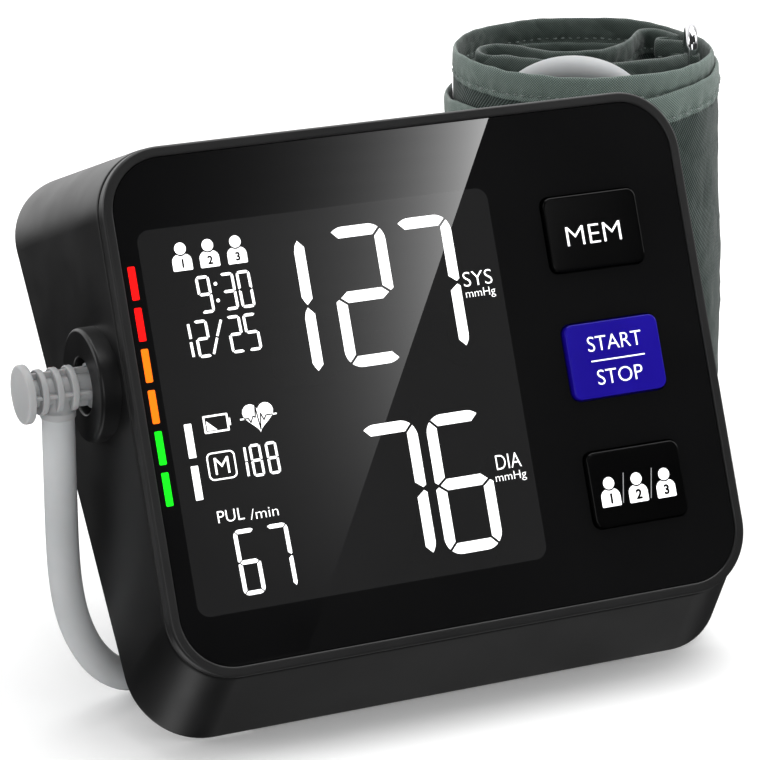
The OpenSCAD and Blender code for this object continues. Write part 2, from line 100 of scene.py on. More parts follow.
def finish_mesh(name, shape, to, mat, body, slot, sharp, face_mats=None):
    """A mesh from points in millimetres and faces, smooth but for edges past the angle sharp."""
    verts, faces = shape
    obj = mesh_object(name, [(to @ Vector(v)) * MM for v in verts], faces)
    mesh = obj.data
    if face_mats:
        mesh.polygons.foreach_set("material_index", face_mats)
    bm = bmesh.new()
    bm.from_mesh(mesh)
    bmesh.ops.recalc_face_normals(bm, faces=bm.faces)
    for e in bm.edges:
        if len(e.link_faces) == 2:
            e.smooth = e.calc_face_angle(0) < radians(sharp)
    for f in bm.faces:
        f.smooth = True
    bm.to_mesh(mesh)
    bm.free()
    for m in mat if isinstance(mat, list) else [mat]:
        mesh.materials.append(m)
    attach(obj, body)
    return obj


def weighted(obj):
    mod = obj.modifiers.new("normals", "WEIGHTED_NORMAL")
    mod.keep_sharp = True
    return obj


def rounded(w, h, r, n):
    """Points of a rounded rectangle, anticlockwise."""
    out = []
    for sx, sy, a0 in ((1, 1, 0), (-1, 1, 90), (-1, -1, 180), (1, -1, 270)):
        for k in range(n + 1):
            a = radians(a0 + 90 * k / n)
            out.append((sx * (w / 2 - r) + r * cos(a), sy * (h / 2 - r) + r * sin(a)))
    return out


def strips(rings, cap_first=False, cap_last=False):
    """Points and faces of the quads between closed rings of points."""
    n = len(rings[0])
    verts = [p for ring in rings for p in ring]
    faces = []
    for i in range(len(rings) - 1):
        for k in range(n):
            a, b = i * n + k, i * n + (k + 1) % n
            faces.append((a, b, b + n, a + n))
    if cap_first:
        faces.append(tuple(reversed(range(n))))
    if cap_last:
        faces.append(tuple(range((len(rings) - 1) * n, len(rings) * n)))
    return verts, faces


def joined(shapes):
    """Several shapes as one."""
    verts, faces = [], []
    for v, f in shapes:
        k = len(verts)
        faces += [tuple(k + i for i in face) for face in f]
        verts += v
    return verts, faces


def pillow_faces(rows, m):
    """Faces of a strip of two skins, each rows high and m points long, joined at its edges and its ends."""
    n = 2 * rows
    faces = [(j * m + i, j * m + i + 1, (j + 1) % n * m + i + 1, (j + 1) % n * m + i)
             for j in range(n) for i in range(m - 1)]
    return faces + [(j * m + i, (j + 1) * m + i, (n - 2 - j) * m + i, (n - 1 - j) * m + i)
                    for i in (0, m - 1) for j in range(rows - 1)]


def ellipse(x, y, rx, ry, n):
    return [(x + rx * cos(2 * pi * k / n), y + ry * sin(2 * pi * k / n)) for k in range(n)]


def lathe(profile, n):
    """Rings round the local z axis from (radius, z) pairs."""
    return [[(*p, z) for p in ellipse(0, 0, max(r, 0.001), max(r, 0.001), n)] for r, z in profile]


def catmull(points):
    """A smooth line through the points, with 8 steps from each to the next."""
    points, out = [Vector(p) for p in points], []
    for i in range(len(points) - 1):
        p, q = points[i], points[i + 1]
        o, r = points[max(i - 1, 0)], points[min(i + 2, len(points) - 1)]
        for k in range(8):
            t = k / 8
            out.append(0.5 * (2 * p + (q - o) * t + (2 * o - 5 * p + 4 * q - r) * t * t
                              + (3 * p - o - 3 * q + r) * t ** 3))
    return out + [points[-1]]


def even(points, step):
    """The same line with points a step apart."""
    lengths = [0]
    for a, b in zip(points, points[1:]):
        lengths.append(lengths[-1] + (b - a).length)
    n = max(2, round(lengths[-1] / step))
    out, i = [], 0
    for k in range(n + 1):
        s = lengths[-1] * k / n
        while i < len(points) - 2 and lengths[i + 1] < s:
            i += 1
        t = (s - lengths[i]) / max(1e-9, lengths[i + 1] - lengths[i])
        out.append(points[i].lerp(points[i + 1], min(1, t)))
    return out


# --- materials
class Tree:
    """Short names for building a node tree."""

    def __init__(self, tree):
        self.tree = tree

    def add(self, kind, **values):
        node = self.tree.nodes.new(kind)
        for k, v in values.items():
            setattr(node, k, v)
        return node

    def link(self, a, b):
        self.tree.links.new(a, b)

    def feed(self, socket, v):
        """Give a socket a number, a colour or another node's output."""
        if isinstance(v, (int, float)):
            socket.default_value = v
        elif isinstance(v, tuple):
            socket.default_value = (*v, 1)
        else:
            self.link(v, socket)

    def split(self, vec):
        """The three parts of a vector."""
        sep = self.add("ShaderNodeSeparateXYZ")
        self.link(vec, sep.inputs[0])
        return sep.outputs["X"], sep.outputs["Y"], sep.outputs["Z"]

    def ramp(self, fac, stops, style="LINEAR"):
        r = self.add("ShaderNodeValToRGB")
        r.color_ramp.interpolation = style
        els = r.color_ramp.elements
        while len(els) < len(stops):
            els.new(0.5)
        for e, (at, color) in zip(els, stops):
            e.position = at
            e.color = (*color, 1)
        self.link(fac, r.inputs["Fac"])
        return r.outputs["Color"]

    def math(self, op, a, b=None, c=None, clamp=False):
        m = self.add("ShaderNodeMath", operation=op, use_clamp=clamp)
        for i, v in enumerate((a, b, c)):
            if v is not None:
                self.feed(m.inputs[i], v)
        return m.outputs[0]

    def mul(self, a, b, clamp=False):
        return self.math("MULTIPLY", a, b, clamp=clamp)

    def sub(self, a, b):
        return self.math("SUBTRACT", a, b)

    def mix(self, fac, a, b):
        m = self.add("ShaderNodeMix", data_type="RGBA")
        for i, v in ((0, fac), (6, a), (7, b)):
            self.feed(m.inputs[i], v)
        return m.outputs[2]

    def range(self, fac, lo, hi, a=0.0, b=1.0):
        r = self.add("ShaderNodeMapRange")
        for k, v in (("Value", fac), ("From Min", a), ("From Max", b), ("To Min", lo), ("To Max", hi)):
            self.feed(r.inputs[k], v)
        return r.outputs["Result"]


class Nodes(Tree):
    """The node tree of one material, with its shader and the object's own coordinates."""

    NAMES = dict(rough="Roughness", metal="Metallic", spec="Specular IOR Level", sheen="Sheen Weight",
                 sheen_rough="Sheen Roughness", sub="Subsurface Weight", sub_scale="Subsurface Scale",
                 emit="Emission Strength", emit_color="Emission Color")

    def __init__(self, name):
        self.mat = bpy.data.materials.new(name)
        self.mat.use_nodes = True
        super().__init__(self.mat.node_tree)
        self.shader = self.tree.nodes["Principled BSDF"]
        self.place = self.add("ShaderNodeTexCoord").outputs["Object"]

    def set(self, **values):
        for k, v in values.items():
            self.shader.inputs[self.NAMES[k]].default_value = v

    def noise(self, scale, detail=2, rough=0.5):
        n = self.add("ShaderNodeTexNoise")
        for k, v in (("Vector", self.place), ("Scale", scale), ("Detail", detail), ("Roughness", rough)):
            self.feed(n.inputs[k], v)
        return n.outputs["Fac"]

    def bump(self, height, distance, strength, after=None):
        b = self.add("ShaderNodeBump")
        for k, v in (("Strength", strength), ("Distance", distance), ("Height", height)):
            self.feed(b.inputs[k], v)
        if after:
            self.link(after, b.inputs["Normal"])
        return b.outputs["Normal"]

    def out(self, color=None, rough=None, normal=None, **values):
        for k, v in (("Base Color", color), ("Roughness", rough), ("Normal", normal)):
            if v is not None:
                self.link(v, self.shader.inputs[k])
        self.set(**values)
        return self.mat


def shade(c, f):
    return tuple(min(1, x * f) for x in c)


def plastic(name, color, rough=0.4, grain=0.3, depth=0.02, spread=0.06, vary=0.12, **values):
    """Moulded plastic: fine spark texture, faint flow of colour, uneven gloss."""
    n = Nodes(name)
    flow = n.noise(45, 3, 0.55)
    fine = n.noise(1 / (grain * MM), 2, 0.6)
    color = n.ramp(flow, [(0.3, shade(color, 1 - vary)), (0.7, shade(color, 1 + vary))])
    gloss = n.range(flow, rough - spread, rough + spread, 0.3, 0.7)
    return n.out(color, gloss, n.bump(fine, depth * MM, 0.6), **values)


def metal(name, color, rough=0.25, grain=0.4, **values):
    n = Nodes(name)
    flow = n.noise(120, 3, 0.6)
    fine = n.noise(1 / (grain * MM), 3, 0.6)
    return n.out(n.ramp(flow, [(0.3, shade(color, 0.9)), (0.7, shade(color, 1.05))]),
                 n.range(flow, rough * 0.7, rough * 1.4, 0.3, 0.7), n.bump(fine, 0.006 * MM, 0.5), metal=1.0,
                 **values)


def rubber(name, color, rough=0.7):
    return plastic(name, color, rough, grain=0.5, depth=0.05, spread=0.08, vary=0.2, spec=0.3)


casing_mat = plastic("casing_plastic", (0.0055, 0.0055, 0.0058), 0.36, grain=0.28, depth=0.012, spec=0.5)
frame_mat = plastic("frame_plastic", (0.0130, 0.0130, 0.0133), 0.38, grain=0.25, depth=0.008, spec=0.5)
key_black_mat = plastic("key_plastic_black", (0.0010, 0.0010, 0.0011), 0.2, grain=1.5, depth=0.001,
                        spread=0.03, spec=0.22)
key_blue_mat = plastic("key_plastic_blue", (0.0085, 0.0020, 0.268), 0.24, grain=1.5, depth=0.001, spread=0.03,
                       spec=0.22)
plug_mat = plastic("plug_plastic", (0.36, 0.365, 0.37), 0.42, grain=0.3, depth=0.012, sub=0.08,
                   sub_scale=0.002)
rubber_mat = rubber("black_rubber", (0.018, 0.018, 0.018))
steel_mat = metal("steel", (0.62, 0.62, 0.64), 0.28)
chrome_mat = metal("chrome", (0.86, 0.86, 0.88), 0.06, grain=3)


def glass_material():
    """Polished black glass, with the display's slightly paler window printed behind it."""
    n = Nodes("black_glass")
    x, y, z = n.split(n.place)
    tilt = radians(FACE_TILT)
    up = n.math("ADD", n.mul(n.sub(y, FACE_AT[1] * MM), sin(tilt)),
                n.mul(n.sub(z, FACE_AT[2] * MM), cos(tilt)))

    def beyond(v, i):
        """How far a place lies beyond the straight part of the window's edge."""
        off = n.math("ABSOLUTE", n.sub(v, WINDOW_AT[i] * MM))
        return n.math("MAXIMUM", n.sub(off, (WINDOW_HALF[i] - WINDOW_R) * MM), 0)

    dx, dy = beyond(x, 0), beyond(up, 1)
    dist = n.math("SQRT", n.math("ADD", n.mul(dx, dx), n.mul(dy, dy)))
    inside = n.range(dist, 1, 0, (WINDOW_R - 0.12) * MM, (WINDOW_R + 0.12) * MM)
    flow = n.noise(30, 2)
    black = n.ramp(flow, [(0.3, (0.0036, 0.0036, 0.0038)), (0.7, (0.0046, 0.0046, 0.0048))])
    grey = n.ramp(flow, [(0.3, (0.0135, 0.0135, 0.0137)), (0.7, (0.0152, 0.0152, 0.0155))])
    n.set(rough=0.0, spec=0.5)
    return n.out(n.mix(inside, black, grey))


glass_mat = glass_material()


def lit(name, color, strength, rough=0.3):
    """An even glow with a faint grain, as of a lit diffuser; on the key prints the glow is painted light."""
    n = Nodes(name)
    grain = n.noise(2500, 2)
    c = n.ramp(grain, [(0.35, shade(color, 0.97)), (0.65, color)])
    n.link(c, n.shader.inputs["Emission Color"])
    return n.out(c, n.range(grain, rough - 0.05, rough + 0.05), None, emit=strength, spec=0.2)


digit_mat = lit("lit_digits", (1.0, 1.0, 1.0), 0.9)
# printed words and signs on the keys glow: painted light that keeps the white print bright
print_painted_glow_mat = lit("key_print_painted_glow", (0.95, 0.95, 0.96), 0.8)
dim_print_painted_glow_mat = lit("thin_key_print_painted_glow", (0.30, 0.30, 0.31), 0.25)


def led_material():
    """Six lit bars: two red, two orange and two green, told apart by their height up the face."""
    n = Nodes("led_bars")
    up = n.math("DIVIDE", n.sub(n.split(n.place)[2], FACE_AT[2] * MM), cos(radians(FACE_TILT)) * MM)
    low, high, orange_from, red_from = -22.0, 35.0, -2.3, 16.2
    c = n.ramp(n.range(up, 0, 1, low, high),
               [(0, (0.004, 0.80, 0.008)), ((orange_from - low) / (high - low), (1.0, 0.145, 0.002)),
                ((red_from - low) / (high - low), (1.0, 0.002, 0.002))], "CONSTANT")
    n.link(c, n.shader.inputs["Emission Color"])
    grain = n.noise(2500, 2)
    return n.out(c, n.range(grain, 0.25, 0.35), None, emit=0.95, spec=0.2)


def hose_material():
    n = Nodes("hose_rubber")
    flow = n.noise(60, 3, 0.6)
    fine = n.noise(1800, 2)
    color = n.ramp(flow, [(0.3, (0.400, 0.410, 0.418)), (0.7, (0.455, 0.465, 0.473))])
    return n.out(color, n.range(flow, 0.42, 0.55, 0.3, 0.7), n.bump(fine, 0.01 * MM, 0.5), spec=0.4, sub=0.05,
                 sub_scale=0.002)


hose_mat = hose_material()


def weave_material(name, color, pitch, kind, relief, rough=0.52, sheen=0.25, vary=0.3, spec=0.35,
                   crumple=0.45):
    """Woven cloth. Threads follow the strip's length and width, kept on the mesh as the attribute flat."""
    n = Nodes(name)
    u, v, _ = n.split(n.add("ShaderNodeAttribute", attribute_name="flat").outputs["Vector"])
    wobble = n.mul(n.noise(220), 0.35)
    k = 2 * pi / pitch
    if kind == "twill":
        along = n.math("ADD", n.mul(u, k), n.mul(v, -k * 0.8))
        along = n.math("MULTIPLY_ADD", wobble, 3.0, along)
        ridge = n.math("MULTIPLY_ADD", n.math("SINE", along), 0.5, 0.5)
        cross = n.math("MULTIPLY_ADD", n.math("SINE", n.mul(v, k * 1.7)), 0.5, 0.5)
        height = n.math("ADD", n.mul(ridge, 0.75), n.mul(cross, 0.25))
    else:
        warp = n.math("SINE", n.mul(u, k))
        weft = n.math("SINE", n.mul(v, k))
        height = n.math("MULTIPLY_ADD", n.mul(warp, weft), 0.5, 0.5)
    blotch = n.noise(70, 4, 0.6)
    slub = n.noise(900, 2, 0.7)
    # paler thread tops and darker valleys between threads: painted highlight and painted shade of the weave's
    # relief
    relief_shade_and_highlight = n.ramp(height, [(0.05, shade(color, 0.14)), (0.5, shade(color, 0.85)), (1.0, shade(color, 2.2))])
    c2 = n.mix(n.range(blotch, 0, 1, 0.35, 0.65), shade(color, 1 - vary), shade(color, 1 + vary))
    c3 = n.mix(0.18, relief_shade_and_highlight, c2)
    c3 = n.mix(n.range(slub, 0.0, 0.35, 0.55, 0.8), c3, shade(color, 1.7))
    normal = n.bump(height, relief * MM, 0.9)
    normal = n.bump(n.noise(350, 3, 0.6), 0.12 * MM, 0.35, normal)
    normal = n.bump(n.noise(95, 3, 0.55), 1.1 * MM, 0.55, normal)          # slack, crumpled cloth
    ridge = n.math("ABSOLUTE", n.sub(n.noise(48, 3, 0.5), 0.5))
    sharp = n.mul(ridge, 7.0, clamp=True)                      # thin sharp creases
    normal = n.bump(sharp, crumple * MM, 0.7, normal)
    return n.out(c3, n.range(blotch, rough - 0.08, rough + 0.08, 0.35, 0.65), normal, spec=spec, sheen=sheen,
                 sheen_rough=0.35)


NYLON = (0.096, 0.128, 0.113)
# the body's twill, its colour darkened partly as painted shade on the roll's body
twill_mat = weave_material("nylon_twill", (0.036, 0.052, 0.046), 1.0, "twill", 0.18, sheen=0.2, spec=0.2)
# the hem cloth as two copies: a paler one for skins facing out, partly painted light, and a darker one with
# stronger blotches for skins facing into the roll, painted shade of the inside and its wrinkles
hem_mat = weave_material("nylon_hem", shade(NYLON, 1.28), 0.68, "plain", 0.10, vary=0.18)
hem_painted_shade_mat = weave_material("nylon_hem_painted_shade", shade(NYLON, 0.66), 0.68, "plain", 0.14, rough=0.42,
                                vary=0.55, crumple=0.9)
# the lining's own darker cloth, darkened further as painted shade inside the roll
lining_mat = weave_material("cuff_lining", shade(NYLON, 0.26), 0.7, "plain", 0.08)
thread_mat = plastic("sewing_thread", (0.21, 0.245, 0.23), 0.5, grain=0.15, depth=0.03)
hook_mat = rubber("hook_tape", (0.02, 0.022, 0.021), 0.9)

# --- hose: its line, as in the CAD solids
LOOP_R, LOOP_X, LOOP_TOP, LEG_AT = 19.2, -3.2, 116.3, 27.2


def loop_point(deg):
    a = radians(deg)
    x = LOOP_X + LOOP_R * cos(a)
    return TO_ROLL @ Vector((x, 1.6 * sin(a) - sqrt(LEG_AT ** 2 - x * x), LOOP_TOP - LOOP_R * (1 - sin(a))))


port_at, leg_at = loop_point(0), loop_point(180)


def leg(s, z):
    t = radians(ROLL_TURN)
    return Vector((leg_at.x - s * sin(t), leg_at.y + s * cos(t), z))


def fold(deg):
    return leg(17 * (1 - cos(radians(deg))), 21 - 17 * sin(radians(deg)))


hose_route = [(port_at.x, port_at.y, z) for z in (56, 66, 76, 88)]
hose_route += [loop_point(22.5 * k) for k in range(9)]
hose_route += [leg(0, z) for z in (84, 68, 52, 36, 21)]
hose_route += [fold(22.5), fold(45), fold(67.5), leg(17, HOSE_LOW)]
hose_route += [(x, y, HOSE_LOW) for x, y in (
    (86.2, 158), (87.4, 171), (86.5, 185), (81, 199), (69.5, 208.5), (54.5, 210.5), (40, 203.5), (27, 191),
    (12, 175), (-4, 158), (-19, 140), (-30.5, 121), (-37, 102.5), (-40.5, 85), (-43.5, 69), (-48, 54.5),
    (-53.5, 42.5), (-60.5, 33))]
hose_route += [(-68.5, 28.6, 4.4), (-74.6, 27.9, 7.9), (-79.4, 27.8, 14.5), (-82.6, 27.8, 23),
               (-84, 27.8, 33)]
hose_route += [(PLUG_X, SOCKET_AT[1], z) for z in (43, 58, 73)]


def smoothed(points, rounds):
    for _ in range(rounds):
        inner = [(a + b * 2 + c) / 4 for a, b, c in zip(points, points[1:], points[2:])]
        points = [points[0]] + inner + [points[-1]]
    return points


hose_line = smoothed(even(catmull(hose_route), 2.0), 12)


def hose_curve():
    curve = bpy.data.curves.new("air_hose_line", "CURVE")
    curve.dimensions = "3D"
    curve.bevel_depth = HOSE_D / 2 * MM
    curve.bevel_resolution = 8
    curve.use_fill_caps = True
    spline = curve.splines.new("POLY")
    spline.points.add(len(hose_line) - 1)
    for p, q in zip(spline.points, hose_line):
        p.co = (*(q * MM), 1)
    spline.use_smooth = True
    obj = new_object("hose", curve)
    obj.data.materials.append(hose_mat)
    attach(obj, "cuff_set")
    return obj


hose = hose_curve()
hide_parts("air_hose")


# --- casing
def casing():
    """The wall between the front rim and the back rim, as rings at a distance from either."""

    def ring(inset, along):
        """along is millimetres from the front rim, or from the back if it is below 0."""
        fr = rounded(FACE_W + 0.4 - 2 * inset, FACE_H + 0.4 - 2 * inset, FACE_R - inset, 20)
        bk = rounded(BACK_W - 2 * inset, BACK_H - 2 * inset, BACK_R - inset, 20)
        out = []
        for f, b in zip(fr, bk):
            p, q = TO_FACE @ Vector((*f, -3.4)), TO_BACK @ Vector((b[0], b[1] + BACK_H / 2, 0))
            t = along / (q - p).length
            out.append(p.lerp(q, t if along >= 0 else 1 + t))
        return out

    rings = [ring(inset, along) for inset, along in (
        (2.4, 6), (2.4, 0.3), (2.2, 0), (0.55, 0), (0.2, 0.12), (0.04, 0.35), (0, 0.8), (0, 3), (0, 8),
        (0, -8), (0, -3), (0, -1.0), (0.06, -0.6), (0.25, -0.22), (0.6, -0.05), (1.1, -1e-6), (2.35, -1e-6),
        (2.4, -0.3), (2.4, -5))]
    return weighted(finish_mesh("casing_shell", strips(rings), WORLD, casing_mat, "root", "casing", sharp=60))


shell = casing()
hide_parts("rear_housing")


def front_frame():
    prof = [(0.0, -3.0), (0.0, -0.75), (0.06, -0.48), (0.2, -0.22), (0.42, -0.06), (0.7, 0.0), (1.9, 0.0),
            (2.2, -0.04), (2.38, -0.18), (2.45, -0.42), (2.45, -1.6)]
    rings = [[(x, y, z) for x, y in rounded(FACE_W - 2 * i, FACE_H - 2 * i, FACE_R - i, 20)] for i, z in prof]
    return weighted(finish_mesh("bezel", strips(rings), TO_FACE, frame_mat, "root", "frame", sharp=70))


bezel = front_frame()
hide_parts("front_frame")


def key(name, i, mat, body, slot, node):
    """A key with a rounded rim and a slightly crowned top."""
    top = -GLASS_SINK + KEY_PROUD
    prof = [(-1.0, -3.4), (-1.0, -2.6), (0.0, -2.5), (0.0, top - 0.5), (0.06, top - 0.22), (0.2, top - 0.07),
            (0.4, top - 0.01), (0.7, top), (3.0, top)]
    rings = [[(x + KEY_AT[0], y + KEY_AT[1] + (1 - i) * KEY_STEP, z)
              for x, y in rounded(KEY_W - 2 * a, KEY_H - 2 * a, max(0.6, KEY_R - a), 10)] for a, z in prof]
    obj = weighted(finish_mesh(name, strips(rings, True, True), TO_FACE, mat, body, slot, sharp=60))
    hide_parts(node)
    return obj


key("key_memory", 0, key_black_mat, "mem_key", "key_black", "button_mem")
key("key_start", 1, key_blue_mat, "start_key", "key_blue", "button_start")
key("key_user", 2, key_black_mat, "user_key", "key_black", "button_user")


def front_foot():
    """Rubber strip let into the lower edge, its front rounded under the casing's lip."""
    prof = [(-1.3, 0.9), (-1.25, 0.4), (-1.0, 0.1), (-0.6, 0.0), (2.4, 0.0), (2.9, 0.12), (3.15, 0.5),
            (3.15, 2.2), (-1.3, 2.2)]
    rings = []
    for x, s in ((-49.9, 0.8), (-49.4, 1.0), (49.4, 1.0), (49.9, 0.8)):
        rings.append([(x, 0.9 + (y - 0.9) * s, 1.1 + (z - 1.1) * s if s < 1 else z) for y, z in prof])
    obj = finish_mesh("foot_strip", strips(rings, True, True), WORLD, rubber_mat, "root", "rubber", sharp=50)
    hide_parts("front_foot")


front_foot()


# --- display and prints
THICK = 0.06                                    # of every printed or lit shape


class Flat:
    """Flat shapes on the face, gathered into one thin mesh."""

    def __init__(self):
        self.verts, self.faces = [], []

    def poly(self, pts):
        area = sum(a[0] * b[1] - b[0] * a[1] for a, b in zip(pts, pts[1:] + pts[:1]))
        if area < 0:
            pts = pts[::-1]
        k, n = len(self.verts), len(pts)
        self.verts += [(x, y, 0) for x, y in pts] + [(x, y, THICK) for x, y in pts]
        self.faces.append(tuple(k + n + i for i in range(n)))
        self.faces += [(k + i, k + (i + 1) % n, k + n + (i + 1) % n, k + n + i) for i in range(n)]

    def box(self, x0, y0, x1, y1, r=0.0):
        if r:
            x, y = (x0 + x1) / 2, (y0 + y1) / 2
            self.poly([(x + a, y + b) for a, b in rounded(x1 - x0, y1 - y0, r, 5)])
        else:
            self.poly([(x0, y0), (x1, y0), (x1, y1), (x0, y1)])

    def disc(self, x, y, r):
        self.poly(ellipse(x, y, r, r, 28))

    def line(self, pts, w):
        for (ax, ay), (bx, by) in zip(pts, pts[1:]):
            d = hypot(bx - ax, by - ay) or 1e-6
            nx, ny = -(by - ay) / d * w / 2, (bx - ax) / d * w / 2
            ex, ey = (bx - ax) / d * w * 0.2, (by - ay) / d * w * 0.2
            self.poly([(ax + nx - ex, ay + ny - ey), (ax - nx - ex, ay - ny - ey),
                       (bx - nx + ex, by - ny + ey), (bx + nx + ex, by + ny + ey)])

    def text(self, words, x0, y0, x1, y1, lift=0.0, bold=0.0):
        """Plain words fitted into a box, or kept at their own width about its middle where x0 is x1."""
        curve = bpy.data.curves.new("words", "FONT")
        curve.body = words
        curve.resolution_u = 4
        curve.offset = bold
        obj = new_object("words", curve)
        mesh = bpy.data.meshes.new_from_object(obj.evaluated_get(bpy.context.evaluated_depsgraph_get()))
        xs, ys = [v.co.x for v in mesh.vertices], [v.co.y for v in mesh.vertices]
        sy = (y1 - y0) / (max(ys) - min(ys))
        sx = (x1 - x0) / (max(xs) - min(xs)) if x1 > x0 else sy
        x0 -= 0 if x1 > x0 else (max(xs) - min(xs)) * sx / 2
        k = len(self.verts)
        self.verts += [(x0 + (x - min(xs)) * sx, y0 + (y - min(ys)) * sy, lift + THICK)
                       for x, y in zip(xs, ys)]
        for p in mesh.polygons:
            ids = [k + i for i in p.vertices]
            self.faces.append(tuple(ids if p.normal.z > 0 else ids[::-1]))
        bpy.data.objects.remove(obj)
        bpy.data.curves.remove(curve)
        bpy.data.meshes.remove(mesh)

    def build(self, name, mat, body, slot, level):
        obj = mesh_object(name, [(TO_FACE @ Vector((x, y, z + level))) * MM for x, y, z in self.verts],
                          self.faces)
        obj.data.materials.append(mat)
        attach(obj, body)


SEGMENTS = dict(zip("02356789", "abcdef abged abgcd afgcd afgedc abc abcdefg abcdfg".split()))


def digit(art, ch, x0, y0, w, h, tv, th, gap, corner, lean=0.0):
    """A seven-segment digit in the box given: mitred bars with dark gaps, rounded at the outer corners."""
    r, g, open_by = corner, gap * 0.7, 28 * gap / corner

    def put(pts, flip_x=False, flip_y=False):
        out = []
        for x, y in pts:
            x, y = w - x if flip_x else x, h - y if flip_y else y
            out.append((x0 + x - (y - h / 2) * lean, y0 + y))
        art.poly(out)

    def arc(a0, a1):
        turns = [radians(a0 + (a1 - a0) * k / 5) for k in range(6)]
        return [(r + r * cos(a), h - r + r * sin(a)) for a in turns]

    mid, tip, cut = h / 2, tv * 0.34 + g, tv + g * 0.9
    upright = ([(tv, mid + th / 2 + g), (tv, h - th - g)] + arc(135 + open_by, 180)
               + [(0, mid + g + th * 0.16), (tv * 0.28, mid + g * 0.8)])
    top = (arc(135 - open_by, 90) + [(w - x, y) for x, y in arc(90, 135 - open_by)]
           + [(w - tv - g, h - th), (tv + g, h - th)])
    middle = [(tip, mid), (cut, mid + th / 2), (w - cut, mid + th / 2), (w - tip, mid),
              (w - cut, mid - th / 2), (cut, mid - th / 2)]
    for s in SEGMENTS[ch]:
        if s in "ad":
            put(top, False, s == "d")
        elif s == "g":
            put(middle)
        else:
            put(upright, s in "bc", s in "ec")


def person(art, x, y, r, wide, tall):
    """A head over shoulders with a clear gap between them; x, y is the middle of the head."""
    art.disc(x, y, r)
    top, half = y - r * 0.95, wide / 2
    bottom, rs, rn = top - tall, tall * 0.42, r * 1.24

    def arc(cx, cy, r, turns):
        return [(cx + r * cos(radians(a)), cy + r * sin(radians(a))) for a in turns]

    art.poly([(x - half + 0.2, bottom), (x + half - 0.2, bottom), (x + half, bottom + 0.2)]
             + arc(x + half - rs, top - rs, rs, (0, 20, 40, 60, 75)) + arc(x, y, rn, range(-52, -129, -9))
             + arc(x - half + rs, top - rs, rs, (105, 120, 140, 160, 180)) + [(x - half, bottom + 0.2)])


